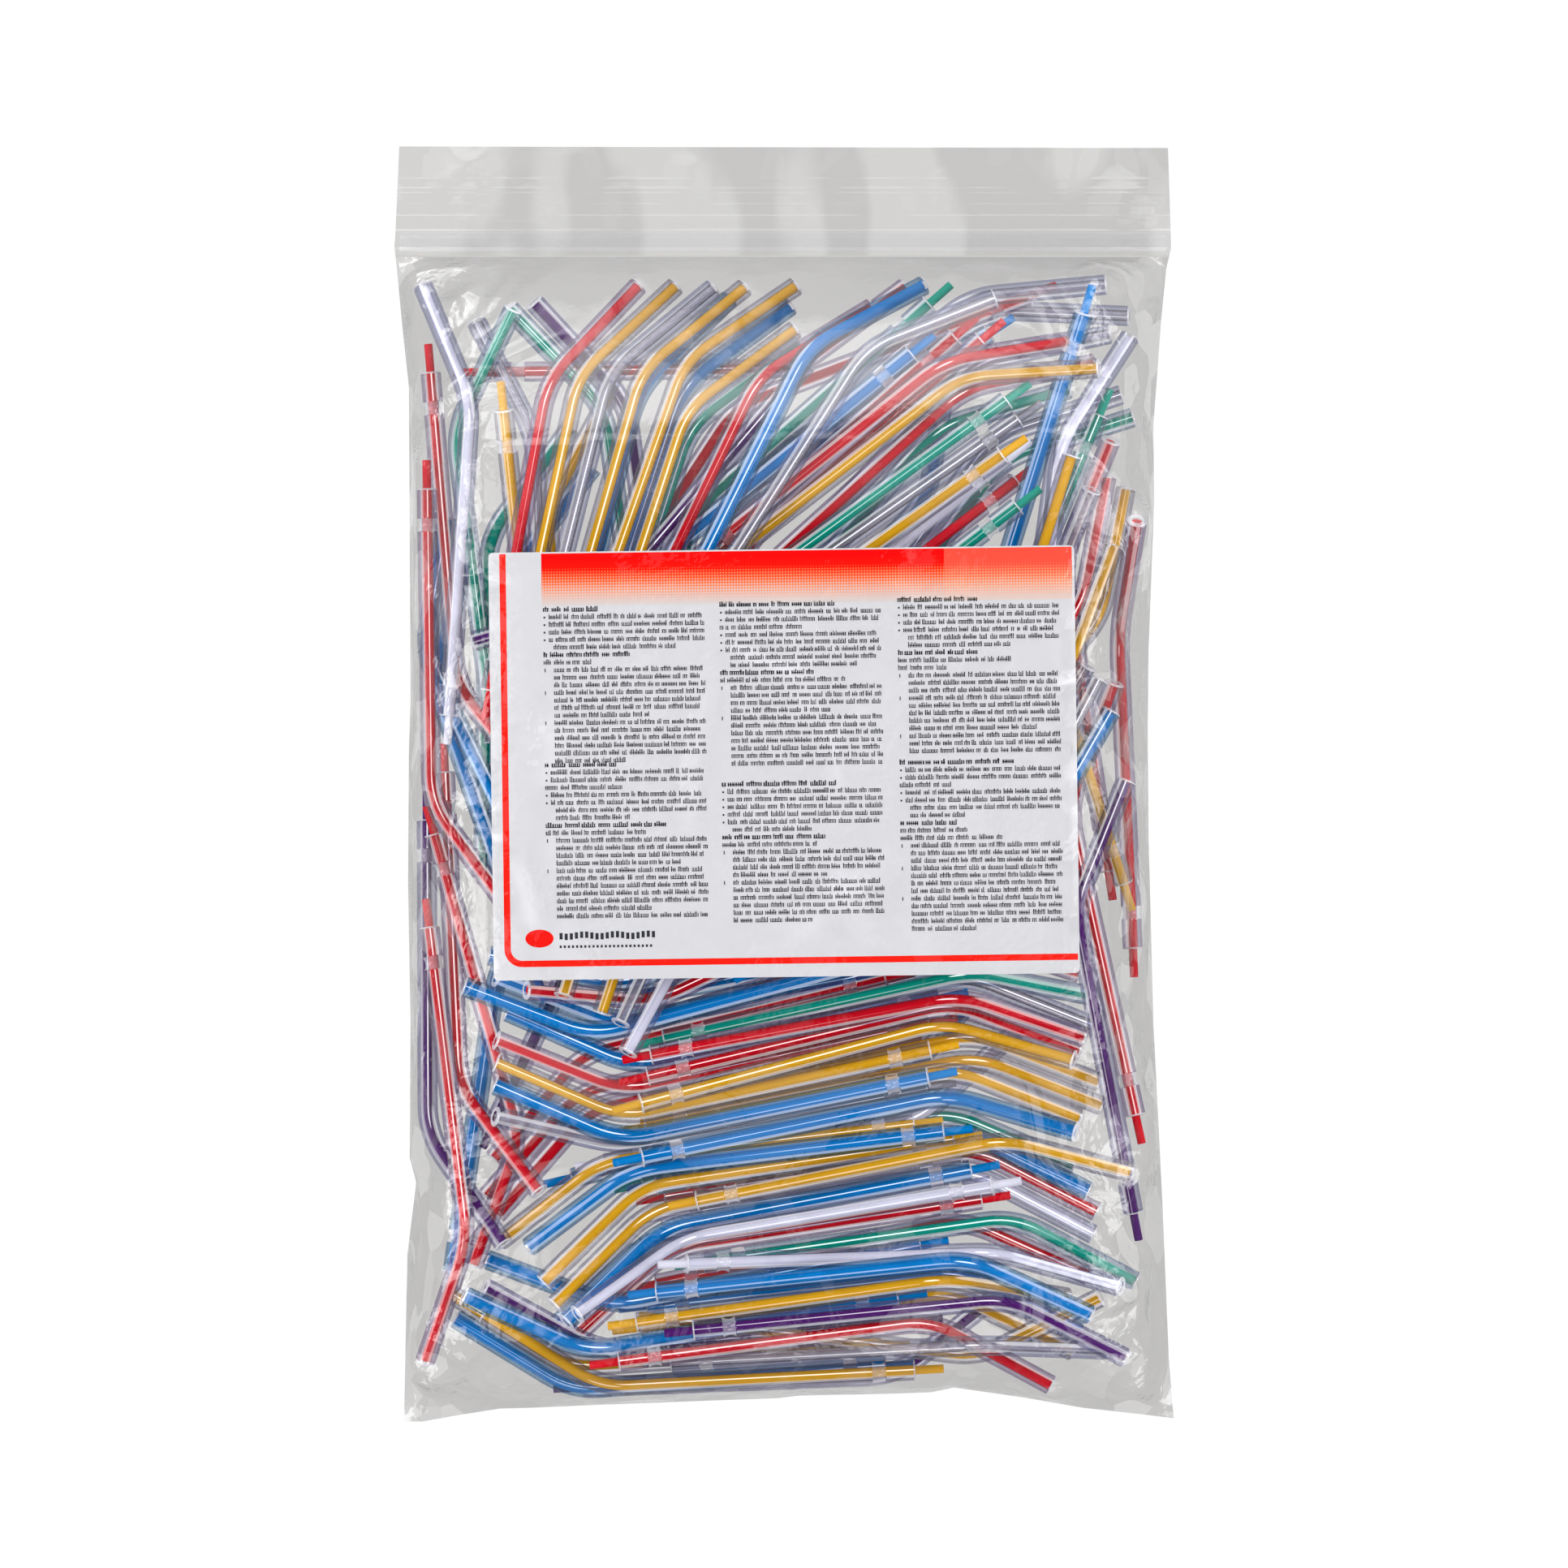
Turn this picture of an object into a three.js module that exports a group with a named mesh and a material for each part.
// Resealable clear bag, lying flat on its back, filled with two-piece dental syringe tips and a printed card.
// Millimetres. Origin: middle of the underside. +Y towards the zipper, +Z up out of the front of the bag.
import * as THREE from "three";

const FILM = 0.25; // film thickness
const GAP = 0.3; // clearance where pieces rest on each other

// ---------- bag outline ----------
// left edge, right edge (top to bottom) and bottom edge (left to right), as [x, y]
const LEFT = [[-75.64, 125.32], [-76.43, 107.32], [-76.59, 105.73], [-76.11, 101.43], [-75.0, 89.65], [-73.73, 78.03], [-73.57, 50.32], [-73.41, 16.88], [-73.73, 6.37], [-73.89, -19.75], [-73.41, -46.82], [-73.57, -73.41], [-72.29, -78.34], [-74.04, -92.52], [-74.68, -124.36], [-74.68, -125.32]];
const RIGHT = [[75.48, 125.0], [75.96, 110.35], [76.11, 105.41], [75.16, 101.43], [74.2, 91.88], [72.61, 70.54], [72.77, 55.1], [71.66, 26.43], [71.5, 10.51], [71.66, -9.87], [72.61, -46.82], [74.36, -81.85], [75.64, -112.74], [76.59, -124.68]];
const BOTTOM = [[-74.68, -125.32], [-71.02, -125.32], [-63.85, -124.04], [-55.89, -122.77], [-49.52, -122.61], [-38.85, -122.13], [-0.96, -120.7], [3.03, -120.22], [18.95, -119.9], [28.82, -119.59], [33.44, -118.63], [46.82, -120.54], [58.76, -122.61], [70.22, -123.89], [76.59, -124.68]];
const MOUTH_Y = 103.5; // top of the pocket, just below the zipper
const TOP_Y = 125.2;

function along(table, key, value, q) {
  const t = [...table].sort((a, b) => a[key] - b[key]);
  if (q <= t[0][key]) return t[0][value];
  for (let i = 1; i < t.length; i++)
    if (q <= t[i][key]) {
      const s = (q - t[i - 1][key]) / (t[i][key] - t[i - 1][key] || 1);
      return t[i - 1][value] + s * (t[i][value] - t[i - 1][value]);
    }
  return t[t.length - 1][value];
}
const leftAt = (y) => along(LEFT, 1, 0, y);
const rightAt = (y) => along(RIGHT, 1, 0, y);
const bottomAt = (x) => along(BOTTOM, 0, 1, x);

// ---------- closed solids from rings of points ----------
function solid(name, verts, tris) {
  const g = new THREE.BufferGeometry();
  g.setAttribute("position", new THREE.Float32BufferAttribute(verts.flat(), 3));
  g.setIndex(tris.flat());
  const m = new THREE.Mesh(g);
  m.name = name;
  return m;
}

// sheet between an upper and a lower height over one grid of [x, y] points: xy[i][j], hi[i][j], lo[i][j]
function sheet(name, xy, hi, lo) {
  const n = xy.length, m = xy[0].length, v = [], t = [];
  for (const h of [hi, lo])
    for (let i = 0; i < n; i++) for (let j = 0; j < m; j++) v.push([xy[i][j][0], xy[i][j][1], h[i][j]]);
  const a = (i, j) => i * m + j, b = (i, j) => n * m + i * m + j;
  for (let i = 0; i < n - 1; i++)
    for (let j = 0; j < m - 1; j++) {
      t.push([a(i, j), a(i + 1, j), a(i + 1, j + 1)], [a(i, j), a(i + 1, j + 1), a(i, j + 1)]);
      t.push([b(i, j), b(i + 1, j + 1), b(i + 1, j)], [b(i, j), b(i, j + 1), b(i + 1, j + 1)]);
    }
  const edge = [];
  for (let i = 0; i < n - 1; i++) edge.push([i, 0]);
  for (let j = 0; j < m - 1; j++) edge.push([n - 1, j]);
  for (let i = n - 1; i > 0; i--) edge.push([i, m - 1]);
  for (let j = m - 1; j > 0; j--) edge.push([0, j]);
  edge.forEach((p, k) => {
    const q = edge[(k + 1) % edge.length];
    t.push([a(...p), b(...p), b(...q)], [a(...p), b(...q), a(...q)]);
  });
  return solid(name, v, t);
}

// profile in the YZ plane carried from the left edge of the bag to the right edge
function crossbar(name, profile, inset) {
  const v = [], t = [], n = profile.length;
  for (const side of [0, 1])
    for (const [y, z] of profile) v.push([side ? rightAt(y) - inset : leftAt(y) + inset, y, z]);
  const caps = THREE.ShapeUtils.triangulateShape(profile.map((p) => new THREE.Vector2(...p)), []);
  for (const [p, q, r] of caps) t.push([p, r, q], [n + p, n + q, n + r]);
  for (let k = 0; k < n; k++) {
    const l = (k + 1) % n;
    t.push([k, l, n + l], [k, n + l, n + k]);
  }
  return solid(name, v, t);
}

// ---------- the tip: straight run, 36 degree bend, short end ----------
const BEND = (36 * Math.PI) / 180, BEND_R = 11 / BEND, SETBACK = BEND_R * Math.tan(BEND / 2);
const STRAIGHT = 61.8, SHORT = 27.1; // from the bend's corner to either end of the sleeve
const arcAt = (f) => {
  const w = BEND * f;
  return [-SETBACK + BEND_R * Math.sin(w), BEND_R - BEND_R * Math.cos(w), w];
};
const shortAt = (d) => [d * Math.cos(BEND), d * Math.sin(BEND), BEND];
// a station is [x, y, heading, radius]
const at = (p, r) => [p[0], p[1], p[2], r];
const bends = [arcAt(0), arcAt(0.5), shortAt(SETBACK)];

function ringTube(outer, inner, sides) {
  const v = [], t = [];
  const ring = ([x, y, w, r]) => {
    const start = v.length;
    for (let k = 0; k < sides; k++) {
      const a = ((k + 0.5) / sides) * 2 * Math.PI, u = r * Math.cos(a);
      v.push([x - Math.sin(w) * u, y + Math.cos(w) * u, r * Math.sin(a)]);
    }
    return start;
  };
  const wall = (rings, flip) => {
    for (let i = 0; i < rings.length - 1; i++)
      for (let k = 0; k < sides; k++) {
        const l = (k + 1) % sides, p = rings[i] + k, q = rings[i] + l, r = rings[i + 1] + l, s = rings[i + 1] + k;
        t.push(flip ? [p, r, q] : [p, q, r], flip ? [p, s, r] : [p, r, s]);
      }
  };
  const o = outer.map(ring), n = inner.map(ring);
  wall(o, false);
  wall(n, true);
  for (const [p, q, flip] of [[o[0], n[0], true], [o[o.length - 1], n[n.length - 1], false]])
    for (let k = 0; k < sides; k++) {
      const l = (k + 1) % sides;
      t.push(flip ? [p + k, q + l, p + l] : [p + k, p + l, q + l], flip ? [p + k, q + k, q + l] : [p + k, q + l, q + k]);
    }
  return { v, t };
}

const straightAt = (d) => [-d, 0, 0];
// sleeve: 4 mm outside, 2.15 mm bore, with a shallow ring groove 5.9 mm from the connector end
const sleeve = ringTube(
  [at(straightAt(STRAIGHT), 2), at(straightAt(STRAIGHT - 5.9), 2), at(straightAt(STRAIGHT - 7.15), 1.62), at(straightAt(STRAIGHT - 8.4), 2),
    ...bends.map((p) => at(p, 2)), at(shortAt(SHORT), 2)],
  [at(straightAt(STRAIGHT), 1.1), ...bends.map((p) => at(p, 1.1)), at(shortAt(SHORT), 1.1)], 8);
// core: 1.6 mm tube that stands 5.6 mm out of the connector end and stops just short of the other end
const core = ringTube(
  [at(straightAt(STRAIGHT + 5.6), 0.8), ...bends.map((p) => at(p, 0.8)), at(shortAt(SHORT - 0.4), 0.8)],
  [at(straightAt(STRAIGHT + 5.6), 0.5), ...bends.map((p) => at(p, 0.5)), at(shortAt(SHORT - 0.4), 0.5)], 6);

// the tips lying uppermost: name, core colour, bend corner x y z, turn as a quaternion x y z w
const TIPS = [
  ["tip_01", "red", -64.127, 19.263, 8.789, 0.13321, -0.15743, -0.65801, 0.72422],
  ["tip_02", "red", -46.155, 78.882, 15.605, 0.74542, 0.61818, -0.16362, -0.18825],
  ["tip_03", "yellow", -40.184, 79.926, 13.086, 0.76792, 0.61157, -0.14504, -0.12348],
  ["tip_04", "clear", -34.102, 80.493, 10.952, 0.78624, 0.60667, -0.11097, -0.03808],
  ["tip_05", "yellow", -19.355, 82.823, 11.611, 0.81362, 0.5695, -0.11075, -0.0378],
  ["tip_06", "blue", 4.891, 85.524, 16.189, 0.83869, 0.50636, -0.14953, -0.13352],
  ["tip_07", "clear", 16.16, 85.114, 17.549, 0.87639, 0.47928, -0.04203, -0.02141],
  ["tip_08", "yellow", 34.899, 79.769, 13.488, 0.93436, 0.32044, 0.04259, 0.14991],
  ["tip_09", "green", -6.312, 38.824, 13.097, -0.29182, 0.90402, 0.29491, -0.10306],
  ["tip_10", "red", 31.401, 82.702, 16.592, 0.88712, 0.32673, -0.06071, -0.32027],
  ["tip_11", "clear", -4.559, 36.079, 10.894, -0.02948, 0.18168, 0.9358, -0.30068],
  ["tip_12", "yellow", 55.54, 22.099, 18.973, -0.27372, -0.12388, 0.31411, 0.90059],
  ["tip_13", "blue", 50.601, -9.028, 17.508, -0.14607, -0.08096, 0.21397, 0.96246],
  ["tip_14", "purple", 56.946, -24.303, 14.818, 0.6078, 0.76367, -0.10441, -0.19099],
  ["tip_15", "white", -18.053, -29.797, 10.376, -0.09495, 0.26421, 0.92848, -0.24313],
  ["tip_16", "red", 34.494, -41.494, 15.477, 0.94348, 0.09708, -0.00511, -0.31684],
  ["tip_17", "yellow", 31.344, -46.764, 11.64, 0.94951, 0.13763, -0.01377, 0.2816],
  ["tip_18", "blue", 32.111, -60.854, 11.134, 0.92811, 0.11617, -0.02853, 0.35258],
  ["tip_19", "yellow", 43.126, -69.459, 18.749, 0.91875, 0.11165, 0.01162, -0.37856],
  ["tip_20", "blue", -23.896, -87.187, 7.698, -0.01534, 0.22321, 0.97025, -0.09253],
  ["tip_21", "white", -19.532, -88.879, 10.816, -0.09098, 0.38723, 0.91591, -0.05367],
  ["tip_22", "green", 45.207, -85.028, 7.166, 0.99686, 0.06979, -0.0199, -0.03174],
  ["tip_23", "yellow", 32.113, -96.651, 17.697, 0.85257, 0.07749, -0.00815, -0.51676],
  ["tip_24", "purple", 43.669, -100.613, 17.388, 0.97014, 0.04941, -0.01019, -0.23723],
  ["tip_25", "red", -61.985, -89.065, 15.089, 0.70626, -0.59603, 0.28942, -0.24935]
];

function placed(name, tube, x, y, z, q) {
  const turn = new THREE.Quaternion(...q).normalize();
  const v = tube.v.map((p) => new THREE.Vector3(...p).applyQuaternion(turn).add(new THREE.Vector3(x, y, z)).toArray());
  return solid(name, v, tube.t);
}

// ---------- assembly ----------
const group = new THREE.Group();
group.name = "tip_pack";

// back film: one flat sheet the whole height of the bag
const outline = [...LEFT, ...BOTTOM.slice(1), ...[...RIGHT].reverse().slice(1)];
const back = new THREE.Shape(outline.map((p) => new THREE.Vector2(...p)));
const backMesh = new THREE.Mesh(new THREE.ExtrudeGeometry(back, { depth: FILM, bevelEnabled: false }));
backMesh.name = "bag_back";
group.add(backMesh);

// front film: drawn taut over the tips and the card, down to the sealed sides and bottom
const OX = [0, 2.4, 6, 12, 20, 30, 42, 55, 68]; // column distances from either side
const VB = [0, 2.4, 6, 12, 20, 30, 41, 53, 66, 79, 92, 105]; // row distances from the bottom seal
const VT = [0, 3, 8, 15, 24, 34, 45, 57, 69, 81, 93, 106]; // row distances from the mouth
// film height above the table, one row of numbers per row of the grid, bottom to mouth
const FRONT = [
  [0.55, 0.55, 0.55, 0.55, 0.55, 0.55, 0.55, 0.55, 0.55, 0.55, 0.55, 0.55, 0.55, 0.55, 0.55, 0.55, 0.55, 0.55],
  [0.55, 1.55, 2.43, 3.24, 3.96, 7.16, 14.56, 12.86, 14.22, 12.09, 12.27, 12.24, 11.73, 13.16, 3.97, 2.24, 1.51, 0.55],
  [0.55, 3.35, 4.40, 5.48, 7.05, 13.09, 18.57, 15.68, 14.56, 16.43, 16.41, 18.21, 15.81, 17.03, 8.64, 5.25, 2.69, 0.55],
  [0.55, 12.11, 11.26, 12.22, 17.26, 21.98, 21.98, 19.65, 19.71, 19.16, 18.20, 20.97, 19.99, 15.17, 15.16, 16.41, 4.92, 0.55],
  [0.55, 12.95, 18.23, 18.23, 18.23, 21.98, 21.98, 19.84, 20.06, 20.98, 22.54, 22.54, 20.94, 19.06, 19.02, 18.79, 5.66, 0.55],
  [0.55, 5.35, 17.63, 18.23, 18.23, 19.68, 20.38, 20.76, 21.00, 21.28, 21.64, 22.54, 22.54, 19.97, 19.28, 18.79, 6.45, 0.55],
  [0.55, 5.22, 17.06, 17.17, 18.53, 20.17, 21.32, 21.92, 22.23, 22.47, 22.53, 22.25, 20.84, 20.95, 14.34, 10.81, 4.96, 0.55],
  [0.55, 7.70, 14.71, 17.08, 19.10, 21.47, 22.70, 23.47, 23.74, 23.97, 23.88, 23.51, 22.09, 20.95, 20.95, 15.31, 13.51, 0.55],
  [0.55, 13.30, 15.21, 26.68, 26.68, 26.68, 26.68, 26.68, 26.68, 26.68, 26.68, 26.68, 26.68, 26.68, 26.68, 10.56, 6.95, 0.55],
  [0.55, 9.88, 15.45, 26.68, 26.68, 26.68, 26.68, 26.68, 26.68, 26.68, 26.68, 26.68, 26.68, 26.68, 26.68, 10.91, 5.89, 0.55],
  [0.55, 11.98, 16.05, 26.68, 26.68, 26.68, 26.68, 26.68, 26.68, 26.68, 26.68, 26.68, 26.68, 26.68, 26.68, 12.89, 6.05, 0.55],
  [0.55, 14.55, 12.41, 26.68, 26.68, 26.68, 26.68, 26.68, 26.68, 26.68, 26.68, 26.68, 26.68, 26.68, 26.68, 12.78, 8.37, 0.55],
  [0.55, 13.25, 15.73, 26.68, 26.68, 26.68, 26.68, 26.68, 26.68, 26.68, 26.68, 26.68, 26.68, 26.68, 26.68, 16.38, 13.48, 0.55],
  [0.55, 13.89, 16.36, 26.68, 26.68, 26.68, 26.68, 26.68, 26.68, 26.68, 26.68, 26.68, 26.68, 26.68, 26.68, 15.08, 16.47, 0.55],
  [0.55, 13.29, 17.29, 26.68, 26.68, 26.68, 26.68, 26.68, 26.68, 26.68, 26.68, 26.68, 26.68, 26.68, 26.68, 26.08, 17.77, 0.55],
  [0.55, 13.12, 17.28, 26.68, 26.68, 26.68, 26.68, 26.68, 26.68, 26.68, 26.68, 26.68, 26.68, 26.68, 26.68, 13.60, 6.82, 0.55],
  [0.55, 13.12, 16.27, 26.68, 26.68, 26.68, 26.68, 26.68, 26.68, 26.68, 26.68, 26.68, 26.68, 26.68, 26.68, 20.07, 20.07, 0.55],
  [0.55, 12.53, 15.16, 26.68, 26.68, 26.68, 26.68, 26.68, 26.68, 26.68, 26.68, 26.68, 26.68, 26.68, 26.68, 20.07, 20.07, 0.55],
  [0.55, 8.94, 16.16, 26.68, 26.68, 26.68, 26.68, 26.68, 26.68, 26.68, 26.68, 26.68, 26.68, 26.68, 26.68, 12.48, 6.20, 0.55],
  [0.55, 7.89, 12.16, 16.46, 18.18, 19.57, 19.91, 20.07, 20.52, 21.38, 22.38, 22.68, 22.38, 21.08, 20.68, 19.17, 5.43, 0.55],
  [0.55, 6.47, 10.01, 14.59, 16.50, 14.80, 14.50, 14.41, 14.70, 17.49, 19.49, 19.70, 18.72, 17.87, 20.47, 20.47, 4.50, 0.55],
  [0.55, 5.03, 9.33, 10.13, 15.64, 15.64, 11.81, 11.25, 11.35, 10.71, 13.11, 18.11, 17.64, 17.33, 17.16, 7.39, 3.94, 0.55],
  [0.55, 4.78, 8.01, 1.90, 2.62, 4.62, 7.31, 12.15, 9.21, 8.07, 4.03, 15.06, 17.06, 12.10, 17.00, 8.81, 1.26, 0.55],
  [0.55, 2.65, 2.65, 2.65, 2.65, 2.65, 2.65, 2.65, 2.65, 2.65, 2.65, 2.65, 2.65, 2.65, 2.65, 2.65, 2.65, 0.55]
];
const cols = 2 * OX.length, rows = VB.length + VT.length;
const frontXY = [], frontHi = [], frontLo = [];
for (let i = 0; i < cols; i++) {
  frontXY.push([]); frontHi.push([]); frontLo.push([]);
  for (let j = 0; j < rows; j++) {
    const level = (x) => (j < VB.length ? bottomAt(x) + VB[j] : MOUTH_Y - VT[rows - 1 - j]);
    let x = 0, y = level(i === 0 ? -70 : 0);
    for (let k = 0; k < 4; k++) {
      x = i < OX.length ? leftAt(y) + OX[i] : rightAt(y) - OX[cols - 1 - i];
      y = level(x);
    }
    frontXY[i].push([x, y]);
    frontHi[i].push(FRONT[j][i] + FILM);
    frontLo[i].push(FRONT[j][i]);
  }
}
group.add(sheet("bag_front", frontXY, frontHi, frontLo));

// front lip above the mouth, with the fine moulded ribs across the header
const lip = [[MOUTH_Y + GAP, 2.65], [108.6, 2.65], [112, 2.2], [TOP_Y, 0.95], [TOP_Y, 1.2]];
for (const y of [118.8, 116.6, 113.8, 111.2]) {
  const z = 2.45 - ((y - 112) * 1.25) / 13.2;
  lip.push([y + 0.45, z - 0.04], [y + 0.2, z + 0.25], [y - 0.2, z + 0.28], [y - 0.45, z + 0.05]);
}
lip.push([108.6, 2.9], [MOUTH_Y + GAP, 2.9]);
group.add(crossbar("lip_front", lip, 0.4));

// zipper: a channel on the back film, and the rib on the lip that presses into it
group.add(crossbar("zipper_back", [[104.6, 0.55], [108.0, 0.55], [108.0, 1.55], [107.4, 1.55], [107.4, 0.95], [105.2, 0.95], [105.2, 1.55], [104.6, 1.55]], 0.9));
group.add(crossbar("zipper_front", [[105.5, 1.25], [107.1, 1.25], [107.1, 1.75], [107.9, 2.0], [107.9, 2.35], [104.7, 2.35], [104.7, 2.0], [105.5, 1.75]], 0.9));

// printed card, flat under the front film
const CARD_W = 114.2, CARD_H = 83.4, CARD_T = 0.3, CARD_Z = 25.68, r = 1;
const card = new THREE.Shape();
card.moveTo(-CARD_W / 2 + r, -CARD_H / 2);
card.lineTo(CARD_W / 2 - r, -CARD_H / 2);
card.quadraticCurveTo(CARD_W / 2, -CARD_H / 2, CARD_W / 2, -CARD_H / 2 + r);
card.lineTo(CARD_W / 2, CARD_H / 2 - r);
card.quadraticCurveTo(CARD_W / 2, CARD_H / 2, CARD_W / 2 - r, CARD_H / 2);
card.lineTo(-CARD_W / 2 + r, CARD_H / 2);
card.quadraticCurveTo(-CARD_W / 2, CARD_H / 2, -CARD_W / 2, CARD_H / 2 - r);
card.lineTo(-CARD_W / 2, -CARD_H / 2 + r);
card.quadraticCurveTo(-CARD_W / 2, -CARD_H / 2, -CARD_W / 2 + r, -CARD_H / 2);
const cardGeometry = new THREE.ExtrudeGeometry(card, { depth: CARD_T, bevelEnabled: false, curveSegments: 3 });
cardGeometry.rotateZ((0.76 * Math.PI) / 180);
cardGeometry.translate(0.00, 4.10, CARD_Z);
const cardMesh = new THREE.Mesh(cardGeometry);
cardMesh.name = "insert_card";
group.add(cardMesh);

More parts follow.
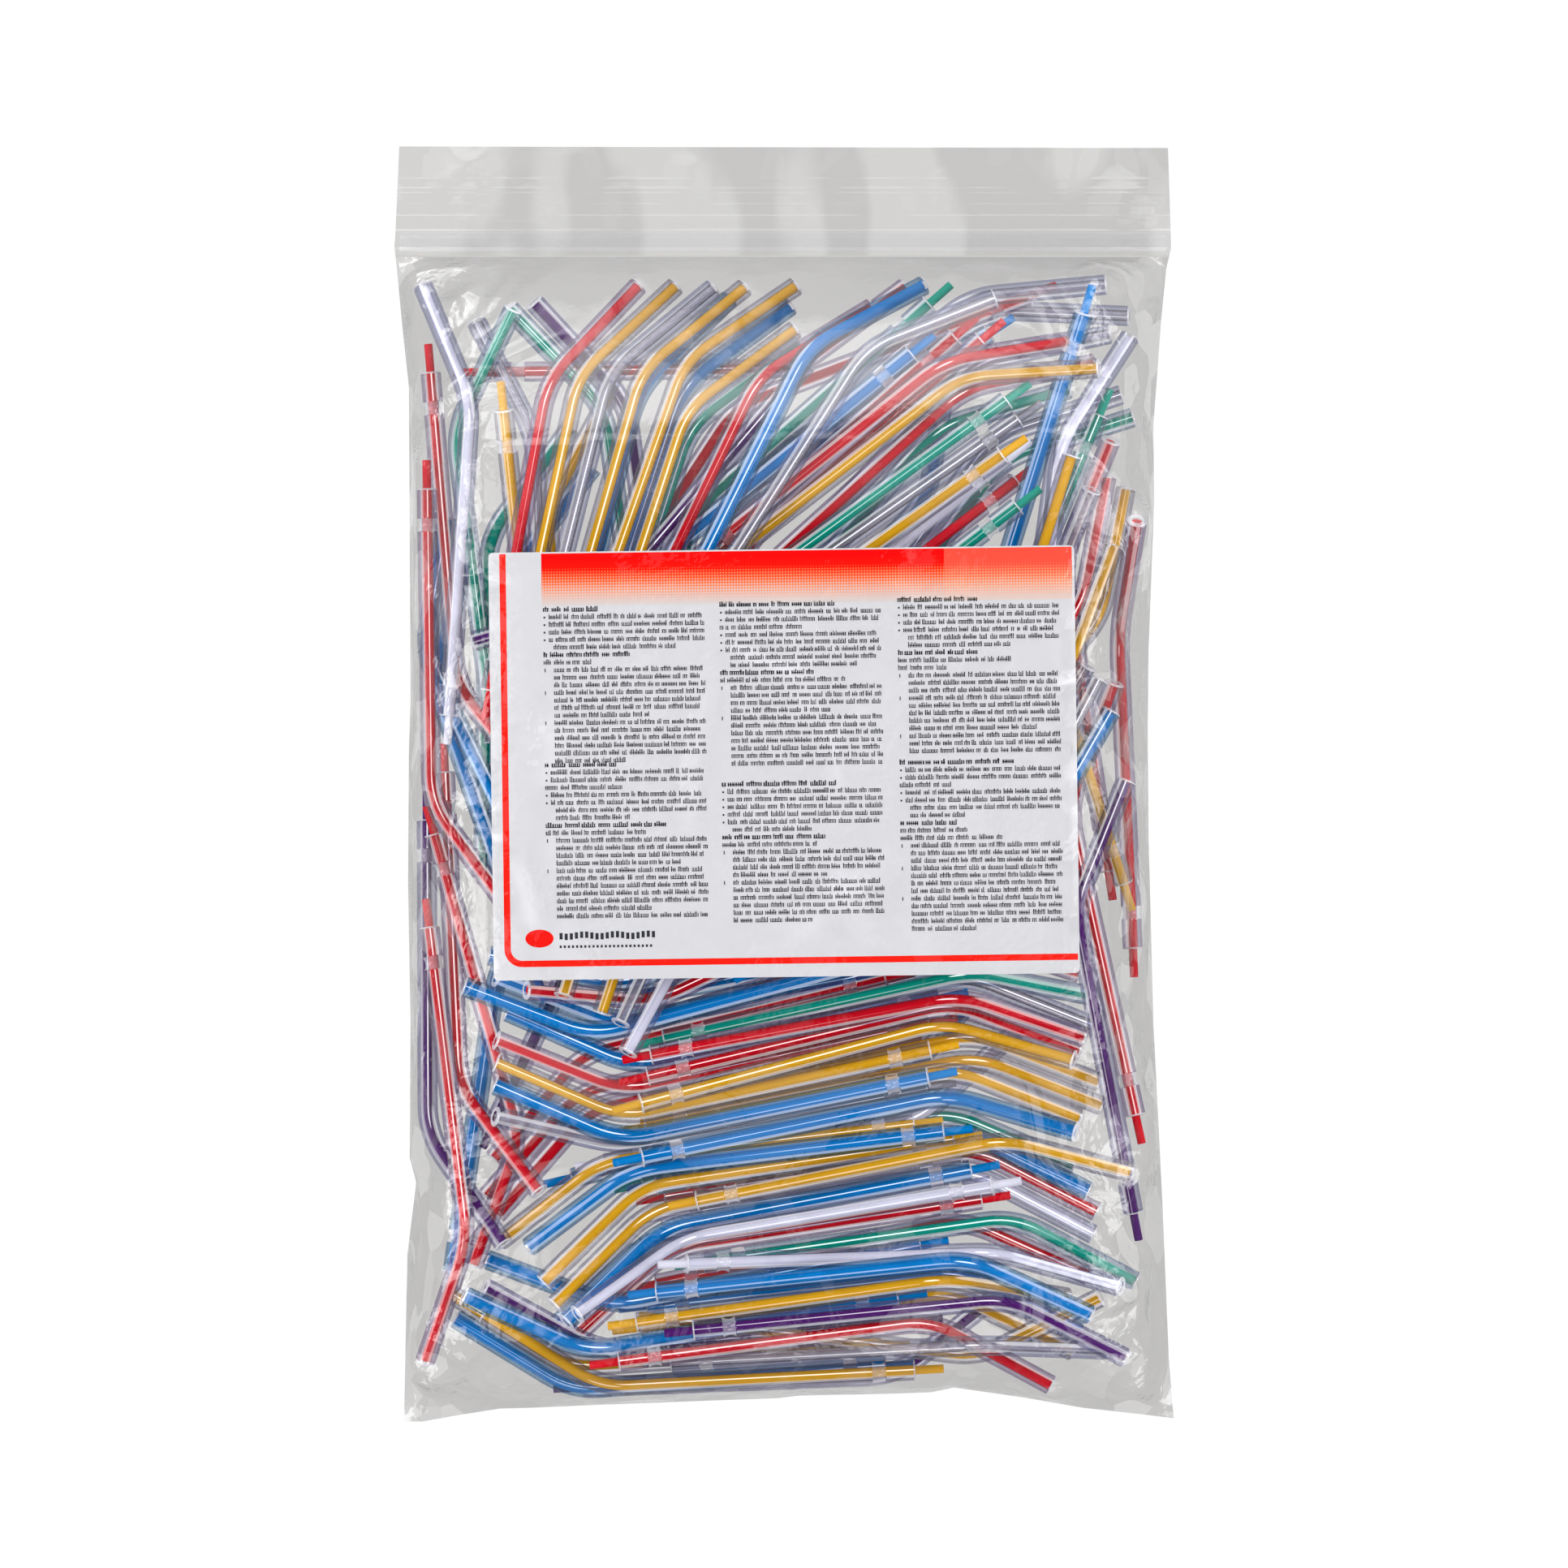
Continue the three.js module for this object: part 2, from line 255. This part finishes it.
// the tips below the uppermost ones, as one low mound
const SX = [3.0, 8, 14, 21, 28, 36, 44, 52, 60, 68];
const SV = [4, 10, 17, 24, 32, 40, 48, 56, 64, 72, 80, 88, 96, 104, 111];
const MOUND = [
  [3.17, 1.89, 1.49, 3.71, 7.41, 10.34, 11.70, 11.75, 11.24, 10.79, 10.68, 10.50, 9.82, 8.14, 7.75, 8.26, 6.83, 5.18, 3.60, 2.75],
  [3.98, 3.70, 4.43, 6.54, 9.53, 10.97, 11.10, 11.16, 11.44, 11.99, 12.30, 12.00, 11.48, 10.05, 9.30, 3.46, 3.33, 3.33, 3.44, 1.61],
  [4.10, 4.10, 4.89, 9.29, 10.26, 8.33, 8.33, 7.68, 7.68, 7.68, 12.52, 13.47, 13.99, 10.42, 6.15, 2.64, 2.64, 2.64, 2.89, 2.89],
  [4.71, 6.57, 6.57, 9.26, 9.78, 7.19, 5.42, 5.36, 5.36, 5.92, 5.78, 5.48, 5.24, 5.22, 4.70, 2.94, 2.64, 2.64, 2.46, 2.46],
  [4.85, 7.76, 9.10, 8.11, 8.31, 6.81, 5.29, 5.12, 5.02, 4.88, 4.79, 4.76, 4.76, 4.82, 4.51, 4.00, 3.47, 2.38, 2.18, 2.18],
  [6.52, 8.05, 9.65, 8.25, 8.33, 6.50, 5.23, 5.10, 5.01, 4.88, 4.79, 4.69, 4.60, 4.53, 4.51, 4.00, 3.90, 2.38, 2.18, 2.18],
  [6.45, 7.89, 9.73, 9.37, 9.26, 9.95, 10.37, 9.76, 5.22, 4.89, 4.79, 4.70, 4.61, 4.53, 4.53, 4.53, 10.01, 3.18, 2.42, 2.42],
  [7.99, 8.49, 8.81, 10.17, 9.90, 10.02, 11.94, 13.43, 13.04, 12.20, 11.09, 9.99, 9.22, 4.78, 4.78, 4.78, 10.01, 3.82, 3.78, 3.78],
  [7.92, 7.92, 7.92, 10.56, 10.43, 10.56, 9.82, 9.82, 9.97, 10.37, 10.80, 9.99, 9.22, 9.22, 9.22, 6.30, 4.63, 4.63, 4.63, 5.13],
  [7.00, 7.00, 7.11, 10.70, 11.06, 10.73, 9.82, 9.82, 9.97, 10.37, 10.80, 10.22, 9.61, 9.61, 9.09, 6.66, 4.63, 4.63, 4.63, 5.15],
  [6.10, 6.10, 6.70, 10.45, 11.67, 12.43, 9.14, 8.57, 8.57, 9.29, 9.29, 10.02, 9.61, 9.61, 9.09, 6.66, 4.63, 4.63, 4.63, 3.83],
  [5.74, 5.74, 6.70, 9.81, 12.27, 12.20, 9.14, 8.18, 8.18, 8.18, 8.50, 10.02, 8.86, 7.86, 6.71, 5.25, 5.44, 6.36, 6.37, 3.21],
  [5.74, 5.74, 6.70, 9.55, 11.06, 10.47, 9.14, 8.18, 7.76, 8.18, 8.50, 9.06, 9.49, 8.02, 5.44, 2.82, 3.62, 5.56, 7.04, 4.15],
  [6.32, 6.32, 9.72, 9.90, 8.49, 7.61, 9.49, 8.21, 8.15, 7.12, 8.50, 9.00, 9.44, 9.89, 9.02, 6.84, 4.77, 6.01, 8.00, 6.35],
  [7.94, 9.04, 10.76, 9.18, 5.92, 5.03, 8.66, 10.30, 9.18, 6.57, 8.33, 9.00, 9.44, 9.89, 12.68, 11.06, 6.72, 6.82, 8.38, 8.01],
  [8.88, 8.28, 9.79, 7.61, 4.33, 2.85, 5.61, 9.36, 10.01, 9.43, 9.25, 9.64, 9.64, 9.89, 10.13, 11.32, 12.51, 10.27, 8.49, 9.17],
  [8.37, 8.26, 9.46, 8.92, 6.32, 4.38, 5.30, 7.95, 9.48, 9.63, 9.32, 9.64, 9.64, 9.89, 10.33, 10.78, 12.15, 10.27, 9.02, 8.17],
  [8.64, 7.95, 7.95, 7.95, 8.64, 6.48, 5.12, 6.14, 8.94, 10.12, 9.15, 9.54, 10.31, 10.31, 10.35, 10.78, 12.12, 10.27, 9.74, 7.60],
  [6.27, 6.25, 6.25, 7.24, 10.49, 10.62, 9.02, 8.75, 10.70, 11.49, 9.77, 8.46, 8.87, 9.90, 10.88, 11.35, 12.27, 12.07, 10.27, 7.39],
  [5.74, 5.74, 5.74, 7.24, 13.77, 14.32, 13.63, 12.18, 9.92, 9.92, 9.92, 9.09, 6.72, 6.48, 8.43, 10.33, 12.69, 12.07, 9.44, 6.33],
  [5.31, 5.31, 5.31, 7.60, 13.62, 14.09, 15.62, 12.83, 8.80, 8.22, 8.22, 8.76, 7.21, 4.14, 5.04, 8.44, 11.51, 10.97, 8.64, 5.77],
  [4.89, 4.89, 4.89, 12.37, 13.01, 13.01, 8.50, 7.87, 7.87, 7.77, 7.43, 7.43, 7.43, 5.59, 4.61, 8.05, 10.70, 8.55, 8.55, 7.58],
  [4.46, 4.46, 4.46, 11.04, 11.94, 11.94, 8.50, 7.87, 7.87, 7.77, 7.23, 6.73, 6.70, 6.70, 6.69, 8.49, 10.38, 8.55, 8.55, 8.55],
  [4.04, 4.04, 4.06, 10.30, 10.87, 10.87, 10.87, 7.87, 7.87, 7.78, 7.23, 6.71, 6.18, 5.93, 5.93, 6.05, 10.93, 8.55, 8.43, 7.76],
  [3.64, 3.64, 3.79, 10.25, 9.81, 9.81, 9.81, 10.94, 8.98, 8.98, 9.06, 6.71, 6.18, 5.65, 5.18, 5.18, 5.18, 11.22, 7.39, 4.99],
  [3.19, 3.19, 3.75, 10.49, 9.41, 8.59, 8.59, 9.74, 9.74, 10.29, 10.29, 10.19, 6.18, 5.65, 5.14, 5.10, 5.10, 6.00, 6.91, 4.31],
  [3.08, 3.08, 3.75, 9.44, 8.98, 6.80, 6.57, 6.57, 7.86, 7.86, 11.59, 11.29, 10.68, 5.82, 5.10, 5.10, 5.10, 6.00, 6.85, 3.81],
  [3.08, 3.08, 3.19, 7.89, 9.01, 6.25, 4.71, 4.14, 4.14, 5.04, 5.04, 8.36, 8.36, 8.36, 9.65, 6.32, 6.32, 6.32, 6.70, 4.45],
  [3.67, 3.44, 3.83, 5.74, 6.77, 5.85, 3.52, 2.67, 2.59, 2.59, 3.16, 4.43, 5.22, 5.22, 5.40, 7.32, 6.69, 6.69, 5.69, 3.47],
  [3.61, 2.55, 3.10, 5.06, 5.34, 4.68, 3.52, 2.67, 2.59, 2.59, 3.16, 4.43, 5.22, 5.22, 5.40, 9.27, 9.06, 8.37, 5.67, 2.64]
];
const sCols = 2 * SX.length, sRows = 2 * SV.length, mXY = [], mHi = [], mLo = [];
for (let i = 0; i < sCols; i++) {
  mXY.push([]); mHi.push([]); mLo.push([]);
  for (let j = 0; j < sRows; j++) {
    const y = j < SV.length ? SV[j] - 121 : 101 - SV[sRows - 1 - j];
    const x = i < SX.length ? leftAt(y) + SX[i] : rightAt(y) - SX[sCols - 1 - i];
    mXY[i].push([x, y]);
    mHi[i].push(MOUND[j][i]);
    mLo[i].push(FILM + GAP);
  }
}
group.add(sheet("loose_tips", mXY, mHi, mLo));

for (const [name, , x, y, z, ...q] of TIPS) {
  group.add(placed(name + "_sleeve", sleeve, x, y, z, q));
  group.add(placed(name + "_core", core, x, y, z, q));
}

export default group;
